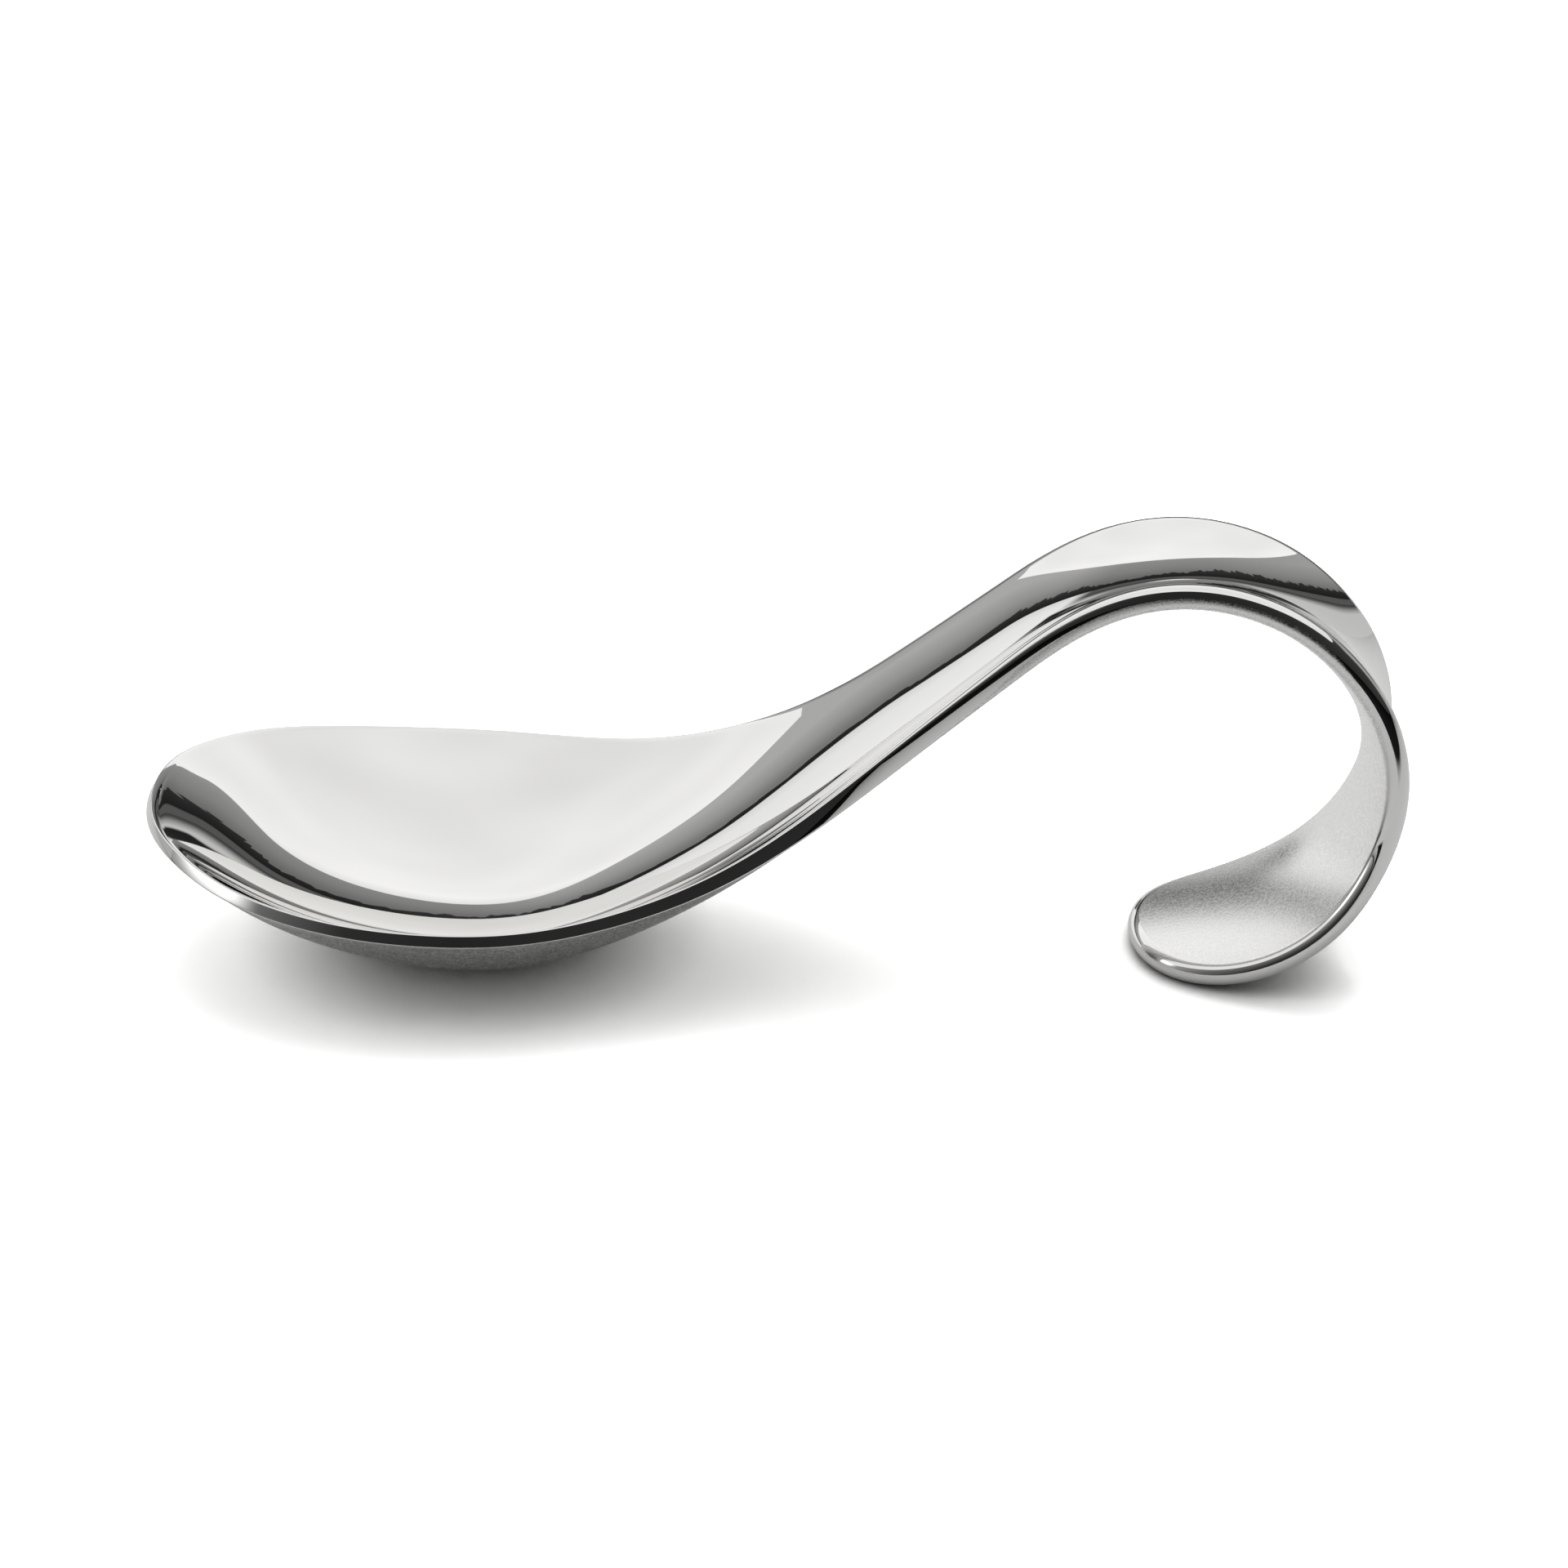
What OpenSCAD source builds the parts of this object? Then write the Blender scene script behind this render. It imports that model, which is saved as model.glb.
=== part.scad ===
// Tasting spoon with a curled handle, formed from one strip of stainless steel.
// The handle rises from the bowl, arches over and curls back down to a second
// resting point, so that the spoon stands level on a table with its bowl filled.
//
// The strip is a gutter all along: its upper face is hollow and its under face
// is full. A side profile gives the line of its two edges, a plan outline gives
// its half width, and both are smooth curves through a few guide rows. The metal
// is thicker along the middle of the bowl, and its rim goes from flat edged
// round the bowl to half round on the handle.

/* [Bowl] */
// Overall width of the bowl
bowl_w = 42.5; // [38:0.5:46]
// Radius of the bowl's hollow, across the bowl at its widest
bowl_r = 26; // [25:0.5:34]
// Thickness of the metal at the bowl's rim
rim_t = 1.25; // [1:0.05:1.6]
// Extra thickness of the metal along the middle of the bowl
crown_t = 1.7; // [0.1:0.1:2]
// Lean of the bowl's flat rim outwards, in degrees
rim_lean = 18; // [0:1:20]
// How flat the bowl's rim is, from 0 for half round
rim_flatness = 0.8; // [0:0.05:0.85]
// Slope of the edge at the bowl's tip, in degrees
tip_slope = -12.5; // [-15:0.5:-8]
// Turn of the edge along the bowl, in degrees
belly_turn = 10.5; // [6:0.5:14]

/* [Handle] */
// Overall width of the handle at its narrowest
waist_w = 16.8; // [14:0.2:20]
// Radius of the handle's shallow hollow
gutter_r = 25; // [20:0.5:40]
// Thickness of the metal in the handle
handle_t = 2.5; // [2:0.1:3]
// Turn of the edge where the bowl runs up into the handle, in degrees
neck_turn = 41.5; // [38:0.5:45]
// Turn over the top of the handle, in degrees
crest_turn = -73.5; // [-78:0.5:-70]

/* [Curl] */
// Overall width of the curl's rounded end
end_w = 21.8; // [18:0.2:24]
// Turn of the curl from the crest to the foot, in degrees
curl_turn = -98.5; // [-102:0.5:-94]
// Turn of the curl's last stretch, in degrees
end_turn = -58; // [-64:0.5:-50]

/* [Fineness] */
// Sections between two guide rows
sections = 6; // [3:1:6]
// Facets across the strip
facets = 16; // [8:2:16]
// Facets round the rim
rim_facets = 6; // [4:1:6]

/* [Hidden] */

// Bends of the side profile: turn in degrees, middle and length along the strip.
BENDS = [
    [belly_turn, 18.5, 29],
    [neck_turn, 54.5, 50],
    [crest_turn, 110, 36],
    [curl_turn, 141.5, 49],
    [end_turn, 169, 32],
];

// Widths and thickness that the guide rows below are drawn for.
DRAWN_BOWL_W = 42.5;
DRAWN_WAIST_W = 16.8;
DRAWN_END_W = 21.8;
DRAWN_CROWN_T = 1.7;
wb = bowl_w / DRAWN_BOWL_W;
wh = waist_w / DRAWN_WAIST_W;
we = end_w / DRAWN_END_W;
tc = crown_t / DRAWN_CROWN_T;

// Guide rows of the strip: distance from the bowl's tip, half width, radius of
// the hollow, thickness at the rim, extra thickness along the middle, and how
// much of the rim's lean and flatness it has.
GUIDE = [
    [0, 4.3 * wb, bowl_r + 4, rim_t, 0.1 * tc, 1],
    [3, 10.5 * wb, bowl_r + 1, rim_t, 0.4 * tc, 1],
    [10, 17.2 * wb, bowl_r, rim_t, 0.9 * tc, 1],
    [22, 20.6 * wb, bowl_r, rim_t, 1.5 * tc, 1],
    [36, 20.9 * wb, bowl_r - 1, rim_t, 1.7 * tc, 1],
    [47, 17.6 * wb, bowl_r - 3, rim_t + 0.05, 1.4 * tc, 1],
    [59, 14.2 * wb, gutter_r, rim_t + 0.25, 0.8 * tc, 1],
    [72, 10 * wb, gutter_r + 1, handle_t - 0.6, 0.3 * tc, 1],
    [87, 8.2 * wh, gutter_r + 1, handle_t - 0.2, 0.1 * tc, 0.8],
    [105, 6.9 * wh, gutter_r, handle_t, 0, 0.4],
    [125, 7.6 * wh, gutter_r - 1, handle_t, 0, 0],
    [141, 7.8 * wh, gutter_r - 1, handle_t, 0, 0],
    [151.5, 7.8 * we, gutter_r + 3, handle_t, 0, 0],
    [163.5, 10.5 * we, gutter_r + 20, handle_t, 0, 0],
    [179.5, 8 * we, gutter_r + 15, handle_t, 0, 0],
];
LAST = len(GUIDE) - 1;

// The outline closes half a step beyond the first and the last guide row.
START = -0.5;
COLUMNS = (LAST + 1) * sections;

// Guide rows where one region of the strip ends and the next begins.
BOWL_END = 6.5;
NECK_END = 8.5;
CREST_END = 10.5;
CURL_END = 12.5;

// ---- Side profile ----

// Smooth step from 0 to 1.
function ramp(t) = let(c = max(0, min(1, t))) c * c * (3 - 2 * c);

// Rate of that step.
function ramp_rate(t) = let(c = max(0, min(1, t))) 6 * c * (1 - c);

// Place of the distance s within a bend, from 0 to 1.
function along(s, bend) = (s - bend[1]) / bend[2] + 0.5;

ONES = [for (bend = BENDS) 1];

// Slope of the edge in degrees, at the distance s from the tip.
function slope(s) = tip_slope + [for (b = BENDS) b[0] * ramp(along(s, b))] * ONES;

// Curvature of the edge, in radians per millimetre.
function curvature(s) =
    [for (b = BENDS) b[0] / b[2] * ramp_rate(along(s, b))] * ONES * PI / 180;

// Points of the edge at even distances.
STEP = 0.5;
STEPS = ceil((GUIDE[LAST][0] + 2) / STEP);
EDGE = [
    for (i = 0, p = [0, 0]; i <= STEPS;
         p = p + STEP * [cos(slope((i + 0.5) * STEP)), sin(slope((i + 0.5) * STEP))],
         i = i + 1) p
];

// Point of the edge at the distance s.
function edge(s) =
    let(k = max(0, floor(s / STEP)), rest = s - k * STEP, a = slope(k * STEP + rest / 2))
    EDGE[k] + rest * [cos(a), sin(a)];

// ---- Plan outline ----

// A guide row across the centre line: what falls to nothing there changes sign.
function flipped(row) = [row[0], -row[1], row[2], row[3], -row[4], row[5]];

// Guide row i, mirrored beyond the first and the last.
function guide_row(i) =
    i < 0 ? flipped(GUIDE[-1 - i])
    : i > LAST ? flipped(GUIDE[2 * LAST + 1 - i])
    : GUIDE[i];

// Uniform cubic B-spline through the guide rows.
function guide(u) =
    let(i = floor(u), t = u - i)
    (pow(1 - t, 3) * guide_row(i - 1)
     + (3 * pow(t, 3) - 6 * pow(t, 2) + 4) * guide_row(i)
     + (-3 * pow(t, 3) + 3 * pow(t, 2) + 3 * t + 1) * guide_row(i + 1)
     + pow(t, 3) * guide_row(i + 2)) / 6;

// Rate of that curve.
function guide_rate(u) =
    let(i = floor(u), t = u - i)
    (-pow(1 - t, 2) * guide_row(i - 1)
     + (3 * pow(t, 2) - 4 * t) * guide_row(i)
     + (-3 * pow(t, 2) + 2 * t + 1) * guide_row(i + 1)
     + pow(t, 2) * guide_row(i + 2)) / 2;

// ---- Sections of the strip ----

TINY = 0.001;

// Direction in space from its parts along the strip, across it and out of its upper face.
function turned(a, v) =
    [v[0] * cos(a) - v[2] * sin(a), v[1], v[0] * sin(a) + v[2] * cos(a)];

function unit(v) = v / norm(v);

// The section at u: [slope, edge point, half width, radius, half thickness,
// curvature, the rates of distance, half width and radius, extra thickness
// in the middle, lean of the rim, and power of its curve].
function section(u) =
    let(
        v = max(START + TINY, min(LAST - START - TINY, u)),
        g = guide(v),
        r = guide_rate(v)
    )
    [slope(g[0]), edge(g[0]), g[1], g[2], g[3] / 2, curvature(g[0]), r[0], r[1], r[2],
     g[4], rim_lean * g[5], 1 - rim_flatness * g[5]];

// How far the middle surface lies below the edges, at y across section c.
function hollow(c, y) = sqrt(c[3] * c[3] - y * y) - sqrt(c[3] * c[3] - c[2] * c[2]);

// Point of the middle surface at y across section c.
function middle(c, y) =
    [c[1][0], 0, c[1][1]] + turned(c[0], [0, y, -hollow(c, y)]);

// Normal of the middle surface there, out of the hollow face.
function normal(c, y) =
    let(
        across = sqrt(c[3] * c[3] - y * y),
        edge_across = sqrt(c[3] * c[3] - c[2] * c[2]),
        stretch = 1 + c[5] * hollow(c, y),
        fall = c[8] / c[6] * (c[3] / across - c[3] / edge_across)
               + c[2] * c[7] / c[6] / edge_across
    )
    unit(turned(c[0], [fall, -stretch * y / across, stretch]));

// Point of the hollow face at the part a of the half width, from -1 to 1.
function hollow_face(c, a) =
    middle(c, a * c[2]) + (c[4] + c[9] * (1 - a * a)) * normal(c, a * c[2]);

// Point of the full face there.
function full_face(c, a) = middle(c, a * c[2]) - c[4] * normal(c, a * c[2]);

// A number raised to a power that keeps its sign.
function signed_power(x, power) = sign(x) * pow(abs(x), power);

// Point a of the rim of section c, from 90 at the hollow face to -90 at the full
// face. It is a half circle at the power 1, and squarer below that.
function rim(c, a) =
    let(
        n = normal(c, c[2]),
        out = unit(cross(n, turned(c[0], [c[6], c[7], 0]))),
        up = cos(c[10]) * n + sin(c[10]) * out,
        side = cos(c[10]) * out - sin(c[10]) * n
    )
    middle(c, c[2])
    + c[4] * (signed_power(cos(a), c[11]) * side + signed_power(sin(a), c[11]) * up);

function mirrored(p) = [p[0], -p[1], p[2]];

// One loop round a section: the hollow face, the rim on +Y, the full face and the
// rim on -Y. The rim's ends are the ends of the two faces.
RIM_ANGLES = [for (k = [0 : rim_facets]) 90 - 180 * k / rim_facets];
INSIDE = [for (j = [1 : facets - 1]) 2 * j / facets - 1];
function loop(c) = concat(
    [mirrored(rim(c, 90))],
    [for (a = INSIDE) hollow_face(c, a)],
    [for (a = RIM_ANGLES) rim(c, a)],
    [for (a = INSIDE) full_face(c, -a)],
    [for (a = RIM_ANGLES) if (a > -90) mirrored(rim(c, -a))]
);
LOOP = 2 * (facets + rim_facets);

LOOPS = [for (i = [0 : COLUMNS]) loop(section(START + i / sections))];

// The origin is under the middle of the spoon's length, on the surface it stands on.
ALL = [for (points = LOOPS) each points];
XS = [for (p = ALL) p[0]];
ZS = [for (p = ALL) p[2]];
ORIGIN = [(min(XS) + max(XS)) / 2, 0, min(ZS)];

// At the outline's two ends a loop closes to the arc of its rim,
// so the points that meet there share the number of the one on +Y.
function tip_number(j) =
    j <= facets ? facets
    : j < facets + rim_facets ? j
    : j <= 2 * facets + rim_facets ? facets + rim_facets
    : 3 * facets + 2 * rim_facets - j;
function number(column, j) =
    let(k = j % LOOP)
    column == 0 || column == COLUMNS ? tip_number(k) : k;

// One region of the strip, from column first to column last, as a closed solid.
module region(first, last) {
    points = [for (i = [first : last]) each [for (p = LOOPS[i]) p - ORIGIN]];
    function vertex(i, j) = (i - first) * LOOP + number(i, j);
    skin = [
        for (i = [first : last - 1], j = [0 : LOOP - 1])
            each [[vertex(i, j), vertex(i, j + 1), vertex(i + 1, j + 1)],
                  [vertex(i, j), vertex(i + 1, j + 1), vertex(i + 1, j)]]
    ];
    // Numbers round the flat end of a cut, matched across the thickness.
    function under(j) = 2 * facets + rim_facets - j;
    web = [
        for (j = [0 : facets - 1])
            each [[j, j + 1, under(j + 1)], [j, under(j + 1), under(j)]]
    ];
    sides = [
        for (k = [0 : rim_facets - 2])
            each [[facets, facets + k + 1, facets + k + 2],
                  [0, (LOOP - k - 2) % LOOP, (LOOP - k - 1) % LOOP]]
    ];
    cut = concat(web, sides);
    first_cut = first == 0 ? [] : [for (f = cut) [f[2], f[1], f[0]]];
    last_cut = last == COLUMNS ? [] : [for (f = cut) f + (last - first) * LOOP * [1, 1, 1]];
    faces = [
        for (f = concat(skin, first_cut, last_cut))
            if (f[0] != f[1] && f[1] != f[2] && f[2] != f[0]) f
    ];
    polyhedron(points, faces, convexity = 6);
}

// Column of a place between the guide rows.
function column(u) = round((u - START) * sections);

module bowl() {
    color("silver") region(0, column(BOWL_END));
}

module neck() {
    color("silver") region(column(BOWL_END), column(NECK_END));
}

module crest() {
    color("silver") region(column(NECK_END), column(CREST_END));
}

module curl() {
    color("silver") region(column(CREST_END), column(CURL_END));
}

module curl_end() {
    color("silver") region(column(CURL_END), COLUMNS);
}

bowl();
neck();
crest();
curl();
curl_end();
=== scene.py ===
"""A stainless steel tasting spoon with a curled handle, standing on a white table.

The spoon is one strip of steel: a gutter whose upper face is hollow and mirror
polished, and whose full face is bead blasted. Its rim is flat round the bowl and half
round on the handle. The CAD model's facets are replaced, region by region, with the
same surface at a fine resolution, worked out from the same guide rows and bends.
"""

import math

import bpy
import numpy as np
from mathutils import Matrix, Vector


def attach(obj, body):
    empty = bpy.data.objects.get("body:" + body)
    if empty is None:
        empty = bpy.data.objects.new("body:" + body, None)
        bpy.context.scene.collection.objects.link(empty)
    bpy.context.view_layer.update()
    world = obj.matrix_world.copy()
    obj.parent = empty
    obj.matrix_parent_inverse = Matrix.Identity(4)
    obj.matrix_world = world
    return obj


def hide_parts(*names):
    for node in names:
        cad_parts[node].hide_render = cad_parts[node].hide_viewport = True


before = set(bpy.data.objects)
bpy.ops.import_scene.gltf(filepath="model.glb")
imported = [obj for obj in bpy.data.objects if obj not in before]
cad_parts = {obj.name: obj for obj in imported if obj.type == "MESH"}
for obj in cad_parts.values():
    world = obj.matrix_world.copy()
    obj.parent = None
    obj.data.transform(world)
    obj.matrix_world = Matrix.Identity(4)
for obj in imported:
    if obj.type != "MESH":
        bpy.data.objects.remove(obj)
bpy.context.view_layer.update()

MM = 0.001

# ---------------------------------------------------------------- camera

CAMERA_AZIMUTH = 1.4  # degrees, towards +X from straight ahead of the spoon
CAMERA_ELEVATION = 29.3  # degrees above the table
CAMERA_DISTANCE = 391 * MM
CAMERA_TARGET = Vector((1.39, 0, 17.65)) * MM
FRAME_WIDTH = 156.1 * MM  # width of the picture at the target
SENSOR = 36


def make_camera():
    azimuth, elevation = math.radians(CAMERA_AZIMUTH), math.radians(CAMERA_ELEVATION)
    back = Vector(
        (
            math.sin(azimuth) * math.cos(elevation),
            -math.cos(azimuth) * math.cos(elevation),
            math.sin(elevation),
        )
    )
    data = bpy.data.cameras.new("camera")
    data.sensor_width = SENSOR
    data.lens = SENSOR * CAMERA_DISTANCE / FRAME_WIDTH
    data.clip_start = 0.01
    data.clip_end = 20
    camera = bpy.data.objects.new("camera", data)
    camera.location = CAMERA_TARGET + back * CAMERA_DISTANCE
    camera.rotation_mode = "QUATERNION"
    camera.rotation_quaternion = (-back).to_track_quat("-Z", "Y")
    bpy.context.scene.collection.objects.link(camera)
    bpy.context.scene.camera = camera


make_camera()

# ---------------------------------------------------------------- the strip's design
# The numbers of part.scad, in millimetres and degrees.

TIP_SLOPE = -12.5

# Bends of the side profile: turn, middle and length along the strip.
BENDS = (
    (10.5, 18.5, 29),
    (41.5, 54.5, 50),
    (-73.5, 110, 36),
    (-98.5, 141.5, 49),
    (-58, 169, 32),
)

# Guide rows: distance from the bowl's tip, half width, radius of the hollow, thickness
# at the rim, crown (extra thickness along the centre line, on the hollow side) and
# squareness of the rim, from 0 for half round to 1 for a flat edge with round corners.
GUIDE = np.array(
    [
        (0, 4.3, 30, 1.25, 0.1, 1),
        (3, 10.5, 27, 1.25, 0.4, 1),
        (10, 17.2, 26, 1.25, 0.9, 1),
        (22, 20.6, 26, 1.25, 1.5, 1),
        (36, 20.9, 25, 1.25, 1.7, 1),
        (47, 17.6, 23, 1.3, 1.4, 1),
        (59, 14.2, 25, 1.5, 0.8, 1),
        (72, 10, 26, 1.9, 0.3, 1),
        (87, 8.2, 26, 2.3, 0.1, 0.8),
        (105, 6.9, 25, 2.5, 0, 0.4),
        (125, 7.6, 24, 2.5, 0, 0),
        (141, 7.8, 24, 2.5, 0, 0),
        (151.5, 7.8, 28, 2.5, 0, 0),
        (163.5, 10.5, 45, 2.5, 0, 0),
        (179.5, 8, 40, 2.5, 0, 0),
    ],
    dtype=float,
)
LAST = len(GUIDE) - 1
START = -0.5

RIM_LEAN = 18  # degrees that a square rim leans outwards
RIM_SQUARE = 0.8  # taken off the power of the rim's superellipse where it is square

# Where bead blasting begins on the rim, as an angle from 90 at the hollow face to -90
# at the full face, at distances from the bowl's tip.
BLASTED_FROM = (
    (0, -90),
    (60, -85),
    (78, -35),
    (92, 2),
    (105, 9),
    (125, 9),
    (140, -60),
    (150, -85),
    (200, -90),
)

# Each region of the strip, from one place between the guide rows to another.
REGIONS = (
    ("bowl", START, 6.5),
    ("neck", 6.5, 8.5),
    ("crest", 8.5, 10.5),
    ("curl", 10.5, 12.5),
    ("curl_end", 12.5, LAST - START),
)

# Fineness of the mesh.
SECTIONS = 40  # between two guide rows
ACROSS = 72  # across the strip
ROUND = 14  # round the rim
COLUMNS = (LAST + 1) * SECTIONS
LOOP = 2 * (ACROSS + ROUND)
RIM_ANGLES = 90 - 180 * np.arange(ROUND + 1) / ROUND

# ---------------------------------------------------------------- side profile


def ramp(t):
    """Smooth step from 0 to 1."""
    t = np.clip(t, 0, 1)
    return t * t * (3 - 2 * t)


def ramp_rate(t):
    t = np.clip(t, 0, 1)
    return 6 * t * (1 - t)


def slope(s):
    """Slope of the edge, in radians, at the distance s from the tip."""
    turns = [turn * ramp((s - middle) / length + 0.5) for turn, middle, length in BENDS]
    return np.radians(TIP_SLOPE + sum(turns))


def curvature(s):
    """Curvature of the edge, in radians per millimetre."""
    rates = [
        turn / length * ramp_rate((s - middle) / length + 0.5)
        for turn, middle, length in BENDS
    ]
    return np.radians(sum(rates))


def edge(s):
    """Point (x, z) of the edge at the distance s, measured from the bowl's tip."""
    step = 0.05
    at = np.arange(0, GUIDE[-1, 0] + 2, step)
    middle_slope = slope(at + step / 2)
    x = np.concatenate([[0], np.cumsum(step * np.cos(middle_slope))])
    z = np.concatenate([[0], np.cumsum(step * np.sin(middle_slope))])
    at = np.concatenate([at, [at[-1] + step]])
    return np.interp(s, at, x), np.interp(s, at, z)


# ---------------------------------------------------------------- plan outline


def guide(u):
    """The uniform cubic B-spline through the guide rows at u, and its rate.

    Beyond the first and the last, the rows are mirrored across the centre line, where the
    half width and the crown pass through 0.
    """
    flip = np.array([1, -1, 1, 1, -1, 1])
    rows = np.vstack([GUIDE[1::-1] * flip, GUIDE, GUIDE[:-3:-1] * flip])
    i = np.clip(np.floor(u).astype(int), -1, LAST)
    t = (u - i)[:, None]
    before, here, after, beyond = (rows[i + k] for k in (1, 2, 3, 4))
    value = (
        (1 - t) ** 3 * before
        + (3 * t**3 - 6 * t**2 + 4) * here
        + (-3 * t**3 + 3 * t**2 + 3 * t + 1) * after
        + t**3 * beyond
    ) / 6
    rate = (
        -((1 - t) ** 2) * before
        + (3 * t**2 - 4 * t) * here
        + (-3 * t**2 + 2 * t + 1) * after
        + t**2 * beyond
    ) / 2
    return value, rate


# ---------------------------------------------------------------- surface


def unit(v):
    return v / np.linalg.norm(v, axis=-1, keepdims=True)


def turned(a, along, across, out):
    """Vectors in space from their parts along the strip, across it and out of it."""
    return np.stack(
        [along * np.cos(a) - out * np.sin(a), across, along * np.sin(a) + out * np.cos(a)],
        axis=-1,
    )


class Strip:
    """Sections of the strip at many places u at once, each as a loop of points."""

    def __init__(self, u):
        tiny = 0.001
        value, rate = guide(np.clip(u, START + tiny, LAST - START - tiny))
        self.s, self.half, self.radius, self.thickness = (value[:, k, None] for k in range(4))
        self.crown, self.square = value[:, 4, None], value[:, 5, None]
        self.s_rate, self.half_rate, self.radius_rate = (rate[:, k, None] for k in range(3))
        self.a = slope(self.s)
        self.x, self.z = edge(self.s)
        self.bend = curvature(self.s)
        self.edge_across = np.sqrt(self.radius**2 - self.half**2)

    def middle(self, y):
        """Point of the middle surface at y across each section."""
        hollow = np.sqrt(self.radius**2 - y**2) - self.edge_across
        edge_point = np.stack([self.x + 0 * y, 0 * y, self.z + 0 * y], axis=-1)
        return edge_point + turned(self.a, np.zeros_like(y), y, -hollow)

    def normal(self, y):
        """Normal of the middle surface there, out of the hollow face."""
        across = np.sqrt(self.radius**2 - y**2)
        hollow = across - self.edge_across
        stretch = 1 + self.bend * hollow
        from_radius = self.radius_rate * (self.radius / across - self.radius / self.edge_across)
        from_half = self.half_rate * self.half / self.edge_across
        fall = (from_radius + from_half) / self.s_rate
        return unit(turned(self.a, fall, -stretch * y / across, stretch))

    def rim(self, angle):
        """Points and normals of the rim on +Y, from 90 at the hollow face to -90.

        The section of the rim is a superellipse, leaning outwards where it is square.
        """
        n = self.normal(self.half)
        along = turned(self.a, self.s_rate, self.half_rate, 0 * self.half)
        out = unit(np.cross(n, along))
        lean = np.radians(RIM_LEAN * self.square)[..., None]
        up, side = np.cos(lean) * n + np.sin(lean) * out, np.cos(lean) * out - np.sin(lean) * n
        power = 1 - RIM_SQUARE * self.square[..., None]
        c = np.cos(np.radians(angle))[None, :, None]
        s = np.sin(np.radians(angle))[None, :, None]
        offset = np.abs(c) ** power * side + np.sign(s) * np.abs(s) ** power * up
        facing = np.abs(c) ** (2 - power) * side + np.sign(s) * np.abs(s) ** (2 - power) * up
        deep = self.thickness[..., None] / 2
        return self.middle(self.half) + deep * offset, unit(facing)

    def loops(self):
        """Points and normals, loop by loop.

        A loop is the hollow face, the rim on +Y, the full face and the rim on -Y.
        """
        side = np.linspace(-1, 1, ACROSS + 1)[None, :]
        y = side * self.half
        n = self.normal(y)
        deep = self.thickness[..., None] / 2
        crown = self.crown[..., None] * (1 - side[..., None] ** 2)
        rim, rim_normals = self.rim(RIM_ANGLES)
        mirror = np.array([1, -1, 1])

        hollow_face = self.middle(y) + (deep + crown) * n
        full_face = (self.middle(y) - deep * n)[:, ::-1]
        hollow_face[:, 0], hollow_face[:, -1] = rim[:, 0] * mirror, rim[:, 0]
        full_face[:, 0], full_face[:, -1] = rim[:, -1], rim[:, -1] * mirror
        hollow_normals = surface_normals(hollow_face, n)

        points = np.concatenate(
            [hollow_face, rim[:, 1:-1], full_face, rim[:, -2:0:-1] * mirror], axis=1
        )
        normals = np.concatenate(
            [
                hollow_normals,
                rim_normals[:, 1:-1],
                -n[:, ::-1],
                rim_normals[:, -2:0:-1] * mirror,
            ],
            axis=1,
        )
        return points, normals


def surface_normals(points, spare):
    """Normals of a grid of points, or the spare ones where the grid closes to a point."""
    along = np.gradient(points, axis=0, edge_order=2)
    across = np.gradient(points, axis=1, edge_order=2)
    normals = np.cross(along, across)
    length = np.linalg.norm(normals, axis=-1, keepdims=True)
    return np.where(length > 1e-9, normals / np.maximum(length, 1e-9), spare)


def tip_number(j):
    """At the outline's two ends a loop closes to the arc of its rim on +Y."""
    if j <= ACROSS:
        return ACROSS
    if j < ACROSS + ROUND:
        return j
    if j <= 2 * ACROSS + ROUND:
        return ACROSS + ROUND
    return 3 * ACROSS + 2 * ROUND - j


def blasted_depth(points, strip, angles):
    """How far each point lies inside the blasted side of the strip, in millimetres.

    It is negative on the hollow face and on the polished part of the rim.
    """
    start = np.interp(strip.s, *zip(*BLASTED_FROM))
    deep = strip.thickness / 2
    depth = np.full(points.shape[:2], -1.0)
    rim = deep * np.radians(start - angles)
    depth[:, ACROSS + 1 : ACROSS + ROUND] = rim[:, 1:-1]
    depth[:, 2 * ACROSS + ROUND + 1 :] = rim[:, -2:0:-1]

    face = slice(ACROSS + ROUND, 2 * ACROSS + ROUND + 1)
    steps = np.linalg.norm(np.diff(points[:, face], axis=1), axis=-1)
    run = np.concatenate([np.zeros((len(points), 1)), np.cumsum(steps, axis=1)], axis=1)
    depth[:, face] = np.minimum(run, run[:, -1:] - run) + deep * np.radians(start + 90)
    return depth


class RegionMesh:
    """Faces of one region of the strip, as a closed solid."""

    def __init__(self, first, last):
        self.first, self.last = first, last

    def vertex(self, i, j):
        j = j % LOOP
        if i in (0, COLUMNS):
            j = tip_number(j)
        return (i - self.first) * LOOP + j

    def skin(self):
        faces = []
        for i in range(self.first, self.last):
            for j in range(LOOP):
                face = (
                    self.vertex(i, j),
                    self.vertex(i + 1, j),
                    self.vertex(i + 1, j + 1),
                    self.vertex(i, j + 1),
                )
                kept = [v for k, v in enumerate(face) if v != face[k - 1]]
                if len(kept) > 2:
                    faces.append(kept)
        return faces

    def cut(self, i):
        """The flat end at column i, seen from beyond it."""
        base = (i - self.first) * LOOP
        under = 2 * ACROSS + ROUND
        web = [(j, j + 1, under - j - 1, under - j) for j in range(ACROSS)]
        far = [(ACROSS, ACROSS + k + 1, ACROSS + k + 2) for k in range(ROUND - 1)]
        near = [(0, (LOOP - k - 2) % LOOP, (LOOP - k - 1) % LOOP) for k in range(ROUND - 1)]
        return [tuple(base + v for v in face) for face in web + far + near]

    def faces(self):
        """Skin faces and flat ends, each wound outwards."""
        ends = []
        if self.first > 0:
            ends += self.cut(self.first)
        if self.last < COLUMNS:
            ends += [face[::-1] for face in self.cut(self.last)]
        return self.skin(), ends


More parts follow.
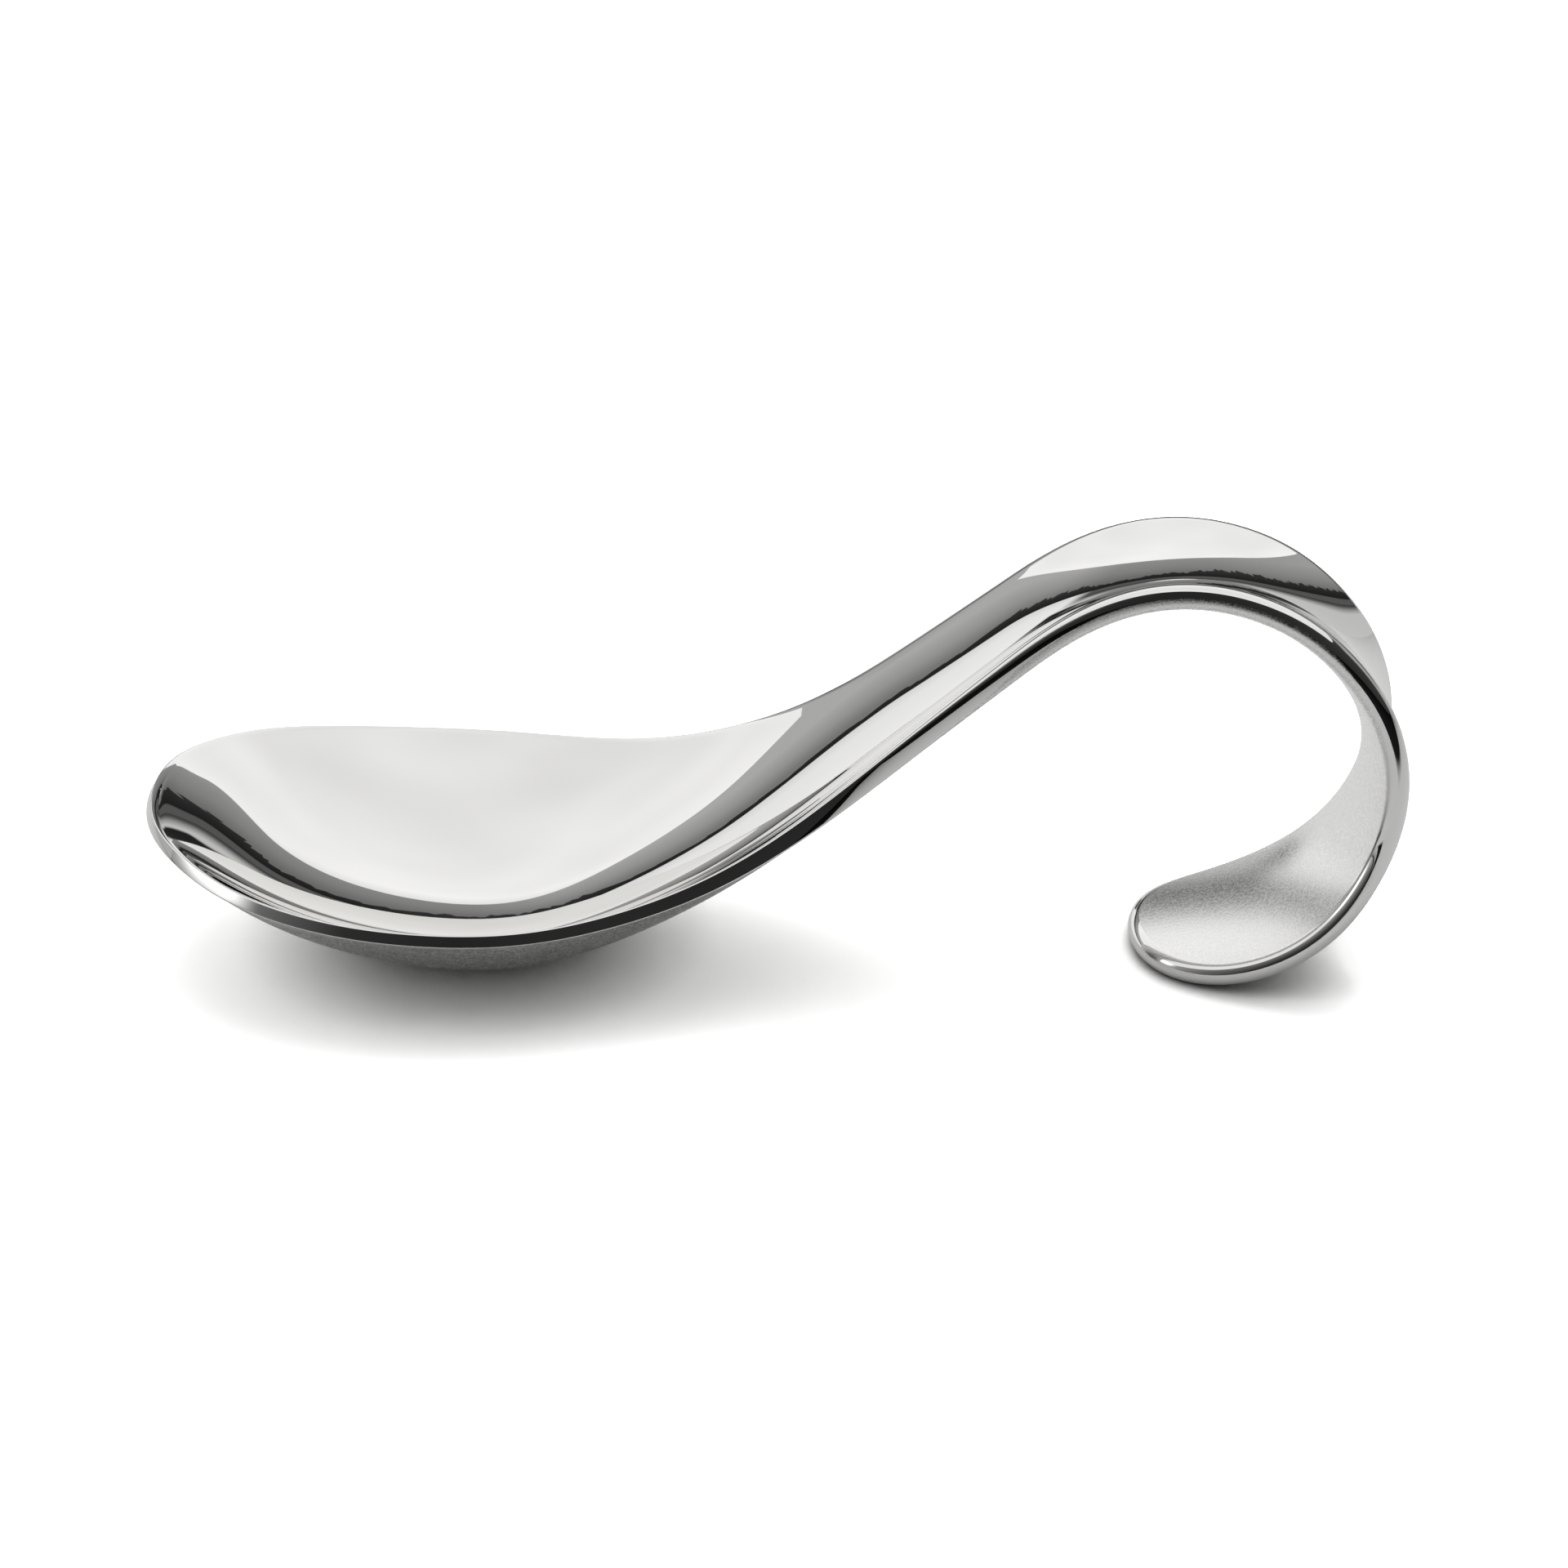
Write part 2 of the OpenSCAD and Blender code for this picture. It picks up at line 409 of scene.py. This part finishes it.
def make_region(name, first, last, points, normals, fields, origin):
    """One piece of the spoon as a mesh object with exact normals."""
    wanted = slice(first, last + 1)
    skin, ends = RegionMesh(first, last).faces()
    flat_points = (points[wanted].reshape(-1, 3) - origin) * MM
    flat_normals = normals[wanted].reshape(-1, 3)
    used = np.unique(np.concatenate([np.ravel(face) for face in skin + ends]))
    renumber = np.full(len(flat_points), -1)
    renumber[used] = np.arange(len(used))

    mesh = bpy.data.meshes.new(name)
    faces = [[int(renumber[v]) for v in face] for face in skin + ends]
    mesh.from_pydata(flat_points[used].tolist(), [], faces)
    corner_normals = [flat_normals[v] for face in skin for v in face]
    for face, polygon in zip(ends, list(mesh.polygons)[len(skin) :]):
        corner_normals += [polygon.normal[:]] * len(face)
    mesh.shade_smooth()
    mesh.normals_split_custom_set([tuple(n) for n in corner_normals])

    for field_name, values in fields.items():
        field = mesh.attributes.new(field_name, "FLOAT", "POINT")
        field.data.foreach_set("value", values[wanted].reshape(-1)[used].astype(np.float32))
    piece = bpy.data.objects.new(name, mesh)
    bpy.context.scene.collection.objects.link(piece)
    return piece


def make_spoon(material):
    u = START + np.arange(COLUMNS + 1) / SECTIONS
    strip = Strip(u)
    points, normals = strip.loops()
    fields = {
        "blasted_mm": blasted_depth(points, strip, RIM_ANGLES),
        "tip_mm": np.broadcast_to(strip.s, points.shape[:2]),
    }

    # The row's origin: under the middle of the length, on the table.
    low, high = points.reshape(-1, 3).min(axis=0), points.reshape(-1, 3).max(axis=0)
    origin = np.array([(low[0] + high[0]) / 2, 0, low[2]])

    for name, begin, end in REGIONS:
        first, last = (round((place - START) * SECTIONS) for place in (begin, end))
        piece = make_region(name + "_surface", first, last, points, normals, fields, origin)
        piece.data.materials.append(material)
        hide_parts(name)
        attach(piece, "root")


# ---------------------------------------------------------------- node helpers


class Graph:
    """Short calls that add nodes to one node tree."""

    def __init__(self, tree):
        self.tree = tree

    def put(self, socket, value):
        if isinstance(value, bpy.types.NodeSocket):
            self.tree.links.new(value, socket)
        else:
            socket.default_value = value

    def node(self, kind, inputs=None, **settings):
        node = self.tree.nodes.new(kind)
        for name, value in settings.items():
            setattr(node, name, value)
        for name, value in (inputs or {}).items():
            self.put(node.inputs[name], value)
        return node

    def math(self, operation, *values):
        node = self.node("ShaderNodeMath", operation=operation)
        for socket, value in zip(node.inputs, values):
            self.put(socket, value)
        return node.outputs[0]

    def ramp(self, value, stops):
        """Values at places along a line, joined by straight stretches.

        Places are in the value's own units. The ramp node holds at most 32 stops.
        """
        places = [place for place, _ in stops]
        low, high = places[0], places[-1]
        node = self.node("ShaderNodeValToRGB")
        self.put(node.inputs["Fac"], self.fade(value, low, high))
        elements = node.color_ramp.elements
        while len(elements) < len(stops):
            elements.new(0.5)
        for element, (place, height) in zip(elements, stops):
            element.position = (place - low) / (high - low)
            element.color = (height, height, height, 1)
        return node.outputs["Color"]

    def fade(self, value, low, high, shape="LINEAR"):
        """From 0 at low to 1 at high."""
        inputs = {"Value": value, "From Min": low, "From Max": high}
        return self.node("ShaderNodeMapRange", inputs, interpolation_type=shape).outputs[0]

    def blend(self, factor, first, second):
        """From first at 0 to second at 1."""
        inputs = {"Factor": factor, "A": first, "B": second}
        return self.node("ShaderNodeMix", inputs, data_type="FLOAT").outputs[0]

    def noise(self, vector, scale, detail=2.0, roughness=0.5):
        inputs = {"Vector": vector, "Scale": scale, "Detail": detail, "Roughness": roughness}
        return self.node("ShaderNodeTexNoise", inputs).outputs["Fac"]

    def stretched(self, vector, scale):
        node = self.node("ShaderNodeVectorMath", {0: vector, 1: scale}, operation="MULTIPLY")
        return node.outputs[0]

    def colour(self, red, green, blue):
        channels = {"Red": red, "Green": green, "Blue": blue}
        return self.node("ShaderNodeCombineColor", channels).outputs[0]


def new_material(name):
    material = bpy.data.materials.new(name)
    material.use_nodes = True
    return material, Graph(material.node_tree), material.node_tree.nodes["Principled BSDF"]


# ---------------------------------------------------------------- steel
# Lengths are in millimetres, and the scales of noise are per millimetre.

PER_METRE = 1000
TINT = (1, 0.995, 0.98)

# Bead blasting begins at a crisp line, and slowly round the bowl's tip.
BLAST_EDGE = (5.0, 0.12)  # how wide the change is, at the tip and past it
PAST_TIP = (8, 24)  # distances from the tip over which the one turns into the other
WANDER = 0.1  # how far the line wanders
WANDER_SCALE = 0.4

# Polished metal is faintly cloudy and wavy, and has hairlines left by the wheel.
POLISHED_ROUGHNESS = (0.008, 0.038)
POLISHED_TONE = (0.815, 0.845)
CLOUD_SCALE = 0.09
HAIR_SCALES = (0.35, 6.0, 6.0)  # along X, Y and Z
HAIR_FROM = (0.62, 0.8)  # parts of the noise that are hairlines
HAIR_ROUGHNESS = 0.03
WAVE_SCALE = 0.12
WAVE_DEPTH = 0.004

# Blasted metal has a fine, even grain of small pits.
BLASTED_ROUGHNESS = (0.22, 0.32)
SHADED_BOWL_TONE = (0.44, 0.86)  # from the bottoms of the pits to their tops under the bowl, kept darker than on the curl as painted shade
CURL_TONE = (0.8, 0.96)  # and on the curl
ON_CURL = (60, 110)  # distances from the tip over which the one turns into the other
GRAIN_SCALE = 3.4
GRAIN_SPREAD = (0.33, 0.67)  # parts of the noise between bottoms and tops
PIT_DEPTH = 0.014
PIT_STRENGTH = (1.0, 0.3)  # under the bowl, and on the curl


def steel():
    """Stainless steel: mirror polished, and bead blasted on the full face.

    The vertex attribute blasted_mm says how far a point lies inside the blasted side, and
    tip_mm how far it lies from the bowl's tip.
    """
    material, graph, shader = new_material("steel")
    shader.inputs["Metallic"].default_value = 1

    place = graph.node("ShaderNodeTexCoord").outputs["Object"]
    mm = graph.stretched(place, (PER_METRE, PER_METRE, PER_METRE))
    inside = graph.node("ShaderNodeAttribute", attribute_name="blasted_mm").outputs["Fac"]
    from_tip = graph.node("ShaderNodeAttribute", attribute_name="tip_mm").outputs["Fac"]

    wander = graph.math("MULTIPLY", graph.noise(mm, WANDER_SCALE), WANDER)
    width = graph.blend(graph.fade(from_tip, *PAST_TIP, "SMOOTHSTEP"), *BLAST_EDGE)
    blasted = graph.fade(graph.math("SUBTRACT", inside, wander), 0.0, width, "SMOOTHSTEP")
    on_curl = graph.fade(from_tip, *ON_CURL, "SMOOTHSTEP")

    cloud = graph.noise(mm, CLOUD_SCALE, 3)
    hair = graph.noise(graph.stretched(mm, HAIR_SCALES), 1.0, 2)
    hairlines = graph.math("MULTIPLY", graph.fade(hair, *HAIR_FROM), HAIR_ROUGHNESS)
    gloss = graph.math("ADD", graph.blend(cloud, *POLISHED_ROUGHNESS), hairlines)
    grain = graph.fade(graph.noise(mm, GRAIN_SCALE, 3, 0.65), *GRAIN_SPREAD)
    dull = graph.blend(grain, *BLASTED_ROUGHNESS)
    graph.put(shader.inputs["Roughness"], graph.blend(blasted, gloss, dull))

    # The grain's tone is the metal's own. Being darker under the bowl than on the curl is
    # painted shade.
    matte_tone_and_shade = graph.blend(on_curl, graph.blend(grain, *SHADED_BOWL_TONE), graph.blend(grain, *CURL_TONE))
    light = graph.blend(blasted, graph.blend(cloud, *POLISHED_TONE), matte_tone_and_shade)
    channels = [graph.math("MULTIPLY", light, tint) for tint in TINT]
    graph.put(shader.inputs["Base Color"], graph.colour(*channels))

    waves = graph.node("ShaderNodeBump", {"Strength": 1.0, "Distance": WAVE_DEPTH * MM})
    graph.put(waves.inputs["Height"], graph.noise(mm, WAVE_SCALE, 1))
    pits = graph.node("ShaderNodeBump", {"Distance": PIT_DEPTH * MM})
    strength = graph.math("MULTIPLY", blasted, graph.blend(on_curl, *PIT_STRENGTH))
    graph.put(pits.inputs["Strength"], strength)
    graph.put(pits.inputs["Height"], grain)
    graph.put(pits.inputs["Normal"], waves.outputs[0])
    graph.put(shader.inputs["Normal"], pits.outputs[0])
    return material


# ---------------------------------------------------------------- studio
# A white board lies in a dark room, with a large softbox close above it, a grey backdrop
# curved round behind, a low wall in front of that and a card beside. Apart from the board
# they are lit surfaces that the camera doesn't see.
#
# Places are in metres, but where a brightness or a height changes from place to place, the
# distances to the side and upwards are in millimetres.

BOARD_SIZE = 3.0  # from its middle to each side
BOARD_LIT = 0.8  # the board's tone as it lights the spoon and itself
BOARD_REFLECTED = 1.1  # as the polished metal shows it
PAST_BOARD = 0.02  # as the polished metal shows what lies past its front edge
BOARD_SEEN = 3.3  # as the camera shows it, a clean studio white
FAR_FROM = (0.16, 0.4)  # distances from the spoon over which it turns into plain white
CONTACT_SHADOW_DISTANCE = 0.007  # how far round the spoon the board that it stands on is darkened by a painted contact shadow
CONTACT_SHADOW_STRENGTH = (0.4, 1.3)  # how deep the painted contact shadow is under the bowl, and under the curl
BELOW_CURL = (0.0, 0.03)  # places along X over which the one turns into the other

# Where the board's front edge is in reflections, by the distance to the side.
BOARD_FRONT = (
    (-95, 0.4),
    (-72, 0.065),
    (16, 0.065),
    (30, 0.4),
    (58, 0.4),
    (68, 0.05),
    (120, 0.05),
)
BOARD_FADE = 0.015

SOFTBOX_HEIGHT = 0.24
SOFTBOX_CORNERS = ((-0.48, -0.2), (0.42, -0.1), (0.42, 0.5), (-0.48, 0.5))
SOFTBOX_TONE = (0.78, 1.02)  # in reflections, where it is nearly even
SOFTBOX_CLOUDS = 6  # scale of its unevenness
SOFTBOX_BACK = (0.0, 0.35)  # places along Y over which it gets brighter
SOFTBOX_BRIGHTER = 0.18
KEY = (0.0, 0.1)  # the part of the softbox that gives most of the light on the board
KEY_RADIUS = 0.19
KEY_TONE = (0.43, 2.6)  # round it, and in its middle

BACKDROP_RADIUS = 0.6
BACKDROP_BEHIND = 0.365
BACKDROP_SPREAD = 62  # degrees to each side of its middle
BACKDROP_STEPS = 96
# Brightness by the distance to the side.
BACKDROP = ((-300, 0.47), (-160, 0.45), (-60, 0.33), (120, 0.32), (400, 0.4))

LIFT = 0.0005  # keeps upright surfaces off the board

# The low wall is white, and its dark top edge has things on it.
WALL_BEHIND = 0.19
WALL_HEIGHT = 68  # millimetres, where its dark edge begins
WALL_SPAN = (-420, 420)
WALL_STEP = 2
# Height of what stands on the wall, by the distance to the side.
ON_WALL = (
    (-420, 9),
    (-112, 9),
    (-104, 17),
    (-56, 20),
    (-26, 20),
    (-18, 12),
    (22, 12),
    (34, 18),
    (58, 18),
    (72, 26),
    (92, 31),
    (128, 27),
    (150, 20),
    (190, 21),
    (240, 17),
    (420, 14),
)
# Waves that make it ragged: part of its height, radians per millimetre and shift.
RAGGED = ((0.12, 0.31, 0), (0.1, 0.83, 1), (0.08, 1.9, 0))
# Brightness of the wall by height, on its left and on its right.
WALL_LEFT = ((0, 0.95), (50, 0.92), (67, 0.8), (68, 0.015), (100, 0.05))
WALL_RIGHT = (
    (0, 0.6),
    (38, 0.58),
    (46, 0.3),
    (51, 0.1),
    (54, 0.05),
    (57, 0.1),
    (66, 0.1),
    (68, 0.015),
    (100, 0.04),
)
RIGHT_FROM = (-30, -12)  # distances to the side over which left turns into right
WALL_PATCH = ((-12, 16), (15, 18))  # middle and half size of a dark thing before the wall
PATCH_TONE = 0.03
PATCH_EDGE = 2

# A dark haze of grey just above the wall: its brightness, and its thickness by height.
HAZE = 0.07
HAZE_THICKNESS = ((60, 0.72), (85, 0.62), (110, 0.3), (150, 0))
HAZE_BEHIND = WALL_BEHIND + 0.002

# A white card stands near the bowl's tip and fades out towards its edges.
CARD_PLACE = Vector((-0.150, -0.050, 0.075))
CARD_WIDTH = 0.125
CARD_HEIGHT = 0.130
CARD_TONE = 1.8
CARD_FADE = (0.5, 0.1)  # from its edge to where it is full, as parts of its size

# Brightness of the dark room, by azimuth from -180 to 180, with 0 straight behind.
ROOM = (
    (-180, 0.02),
    (-160, 0.03),
    (-140, 0.14),
    (-110, 0.4),
    (-85, 0.35),
    (-60, 0.3),
    (60, 0.08),
    (100, 0.04),
    (180, 0.02),
)
DAYLIGHT = 0.1  # soft light that falls on the board from all round
SKY_SEEN = 1.0  # what the camera sees above the board


def white_board():
    material, graph, shader = new_material("white_board")
    place = graph.node("ShaderNodeTexCoord").outputs["Object"]
    x, y, _ = graph.node("ShaderNodeSeparateXYZ", {"Vector": place}).outputs
    rays = graph.node("ShaderNodeLightPath").outputs

    front = graph.ramp(graph.math("MULTIPLY", x, PER_METRE), BOARD_FRONT)
    on_board = graph.fade(graph.math("ADD", y, front), -BOARD_FADE, 0.0, "SMOOTHSTEP")
    reflected = graph.blend(on_board, PAST_BOARD, BOARD_REFLECTED)
    tone = graph.blend(rays["Is Glossy Ray"], BOARD_LIT, reflected)

    # Painted contact shadow: for the camera, ambient occlusion darkens the board near the
    # spoon, more under the curl.
    contact_shadow_ao = graph.node("ShaderNodeAmbientOcclusion", {"Distance": CONTACT_SHADOW_DISTANCE}, samples=8)
    strength = graph.blend(graph.fade(x, *BELOW_CURL), *CONTACT_SHADOW_STRENGTH)
    shade = graph.math("POWER", contact_shadow_ao.outputs["AO"], strength)
    seen = graph.math("MULTIPLY", BOARD_SEEN, shade)
    tone = graph.blend(rays["Is Camera Ray"], tone, seen)
    graph.put(shader.inputs["Base Color"], graph.colour(tone, tone, tone))

    away = graph.node("ShaderNodeVectorMath", {0: place}, operation="LENGTH").outputs["Value"]
    far = graph.fade(away, *FAR_FROM, "SMOOTHSTEP")
    far_seen = graph.math("MULTIPLY", rays["Is Camera Ray"], far)
    graph.put(shader.inputs["Emission Strength"], far_seen)
    shader.inputs["Emission Color"].default_value = (1, 1, 1, 1)
    shader.inputs["Roughness"].default_value = 1
    shader.inputs["Specular IOR Level"].default_value = 0
    return material


def glowing(name):
    """A material that only gives off light, with its graph and its shader."""
    material, graph, _ = new_material(name)
    graph.tree.nodes.clear()
    glow = graph.node("ShaderNodeEmission")
    clear = graph.node("ShaderNodeBsdfTransparent")
    mixed = graph.node("ShaderNodeMixShader", {"Fac": 1.0}, name="thickness")
    graph.put(mixed.inputs[1], clear.outputs[0])
    graph.put(mixed.inputs[2], glow.outputs[0])
    graph.node("ShaderNodeOutputMaterial", {"Surface": mixed.outputs[0]})
    return material, graph, glow


def thinned(graph, thickness):
    """Let what lies behind show through, from all of it at 0 to none at 1."""
    graph.put(graph.tree.nodes["thickness"].inputs["Fac"], thickness)


def stage_place(graph):
    """The distances to the side and upwards, in millimetres, for a stage's material."""
    place = graph.node("ShaderNodeTexCoord").outputs["Object"]
    x, _, z = graph.node("ShaderNodeSeparateXYZ", {"Vector": place}).outputs
    return graph.math("MULTIPLY", x, PER_METRE), graph.math("MULTIPLY", z, PER_METRE)


def softbox_light():
    """Nearly even in reflections, a little brighter at the back, with a strong middle."""
    material, graph, glow = glowing("softbox_light")
    place = graph.node("ShaderNodeTexCoord").outputs["Object"]
    y = graph.node("ShaderNodeSeparateXYZ", {"Vector": place}).outputs["Y"]
    clouds = graph.noise(graph.stretched(place, (1, 1, 0)), SOFTBOX_CLOUDS, 1)
    brighter = graph.math("MULTIPLY", graph.fade(y, *SOFTBOX_BACK), SOFTBOX_BRIGHTER)
    shown = graph.math("ADD", graph.blend(clouds, *SOFTBOX_TONE), brighter)

    middle = graph.node("ShaderNodeCombineXYZ", {"X": KEY[0], "Y": KEY[1], "Z": SOFTBOX_HEIGHT})
    ends = {0: place, 1: middle.outputs[0]}
    away = graph.node("ShaderNodeVectorMath", ends, operation="DISTANCE").outputs["Value"]
    key = graph.blend(graph.fade(away, KEY_RADIUS, 0, "SMOOTHSTEP"), *KEY_TONE)
    lighting = graph.node("ShaderNodeLightPath").outputs["Is Diffuse Ray"]
    graph.put(glow.inputs["Strength"], graph.blend(lighting, shown, key))
    return material


def backdrop_light():
    material, graph, glow = glowing("backdrop_light")
    across, _ = stage_place(graph)
    graph.put(glow.inputs["Strength"], graph.ramp(across, BACKDROP))
    return material


def wall_light():
    material, graph, glow = glowing("wall_light")
    across, height = stage_place(graph)
    left, right = graph.ramp(height, WALL_LEFT), graph.ramp(height, WALL_RIGHT)
    light = graph.blend(graph.fade(across, *RIGHT_FROM, "SMOOTHSTEP"), left, right)
    patch = 1.0
    for along, middle, half in zip((across, height), *WALL_PATCH):
        off_middle = graph.math("ABSOLUTE", graph.math("SUBTRACT", along, middle))
        part = graph.fade(off_middle, half + PATCH_EDGE, half - PATCH_EDGE)
        patch = graph.math("MULTIPLY", patch, part)
    light = graph.math("MULTIPLY", light, graph.blend(patch, 1.0, PATCH_TONE))
    graph.put(glow.inputs["Strength"], light)
    return material


def haze_light():
    material, graph, glow = glowing("haze_light")
    glow.inputs["Strength"].default_value = HAZE
    _, height = stage_place(graph)
    thinned(graph, graph.ramp(height, HAZE_THICKNESS))
    return material


def card_light():
    material, graph, glow = glowing("card_light")
    glow.inputs["Strength"].default_value = CARD_TONE
    place = graph.node("ShaderNodeTexCoord").outputs["Generated"]
    x, _, z = graph.node("ShaderNodeSeparateXYZ", {"Vector": place}).outputs
    thickness = 1.0
    for along in (x, z):
        off_middle = graph.math("ABSOLUTE", graph.math("SUBTRACT", along, 0.5))
        part = graph.fade(off_middle, *CARD_FADE, "SMOOTHSTEP")
        thickness = graph.math("MULTIPLY", thickness, part)
    thinned(graph, thickness)
    return material


QUAD = [(0, 1, 2, 3)]  # the one face of a stage with four corners


def stage_mesh(name, corners, faces, material):
    mesh = bpy.data.meshes.new(name)
    mesh.from_pydata(corners, [], faces)
    stage = bpy.data.objects.new(name, mesh)
    stage.data.materials.append(material)
    bpy.context.scene.collection.objects.link(stage)
    return stage


def unseen(stage, lights_board=False):
    """Hide a lit surface from the camera and, unless it lights the board, from the board."""
    stage.visible_camera = False
    stage.visible_diffuse = lights_board
    stage.visible_shadow = lights_board


def upright(columns):
    """Corners and faces of an upright surface, from its columns (x, y, top)."""
    corners = [(x, y, z) for x, y, top in columns for z in (LIFT, top)]
    faces = [(k, k + 2, k + 3, k + 1) for k in range(0, len(corners) - 2, 2)]
    return corners, faces


def make_board():
    size = BOARD_SIZE
    corners = [(-size, -size, 0), (size, -size, 0), (size, size, 0), (-size, size, 0)]
    stage_mesh("board", corners, QUAD, white_board())


def make_softbox():
    corners = [(x, y, SOFTBOX_HEIGHT) for x, y in SOFTBOX_CORNERS]
    unseen(stage_mesh("softbox", corners, QUAD, softbox_light()), lights_board=True)


def make_backdrop():
    columns = []
    for i in range(BACKDROP_STEPS + 1):
        a = math.radians(BACKDROP_SPREAD * (2 * i / BACKDROP_STEPS - 1))
        x = BACKDROP_RADIUS * math.sin(a)
        y = BACKDROP_RADIUS * (math.cos(a) - 1) + BACKDROP_BEHIND
        columns.append((x, y, SOFTBOX_HEIGHT))
    unseen(stage_mesh("backdrop", *upright(columns), backdrop_light()))


def make_wall():
    """The low wall, with a ragged silhouette of what stands on it."""
    columns = []
    for x in range(WALL_SPAN[0], WALL_SPAN[1] + 1, WALL_STEP):
        tall = np.interp(x, *zip(*ON_WALL))
        ragged = sum(part * math.sin(rate * x + shift) for part, rate, shift in RAGGED)
        columns.append((x * MM, WALL_BEHIND, (WALL_HEIGHT + tall * (1 + ragged)) * MM))
    unseen(stage_mesh("wall", *upright(columns), wall_light()))


def make_haze():
    left, right = (side * MM for side in WALL_SPAN)
    low, high = (HAZE_THICKNESS[end][0] * MM for end in (0, -1))
    corners = [(left, low), (right, low), (right, high), (left, high)]
    corners = [(x, HAZE_BEHIND, z) for x, z in corners]
    unseen(stage_mesh("haze", corners, QUAD, haze_light()))


def make_card():
    """An upright card that faces the spoon."""
    across = Vector((CARD_PLACE.y, -CARD_PLACE.x, 0)).normalized() * CARD_WIDTH / 2
    up = Vector((0, 0, CARD_HEIGHT / 2))
    sides = (-across - up, across - up, across + up, -across + up)
    corners = [CARD_PLACE + side for side in sides]
    unseen(stage_mesh("card", corners, QUAD, card_light()))


def make_world():
    """The dark room in reflections, and plain soft light for everything else."""
    world = bpy.data.worlds.new("studio")
    world.use_nodes = True
    graph = Graph(world.node_tree)
    direction = graph.node("ShaderNodeTexCoord").outputs["Generated"]
    x, y, _ = graph.node("ShaderNodeSeparateXYZ", {"Vector": direction}).outputs
    azimuth = graph.math("DEGREES", graph.math("ARCTAN2", x, y))
    rays = graph.node("ShaderNodeLightPath").outputs
    light = graph.blend(rays["Is Glossy Ray"], DAYLIGHT, graph.ramp(azimuth, ROOM))
    light = graph.blend(rays["Is Camera Ray"], light, SKY_SEEN)
    background = world.node_tree.nodes["Background"]
    background.inputs["Color"].default_value = (1, 1, 1, 1)
    graph.put(background.inputs["Strength"], light)
    bpy.context.scene.world = world


make_spoon(steel())
make_board()
make_softbox()
make_backdrop()
make_wall()
make_haze()
make_card()
make_world()
bpy.context.scene.view_settings.view_transform = "Standard"
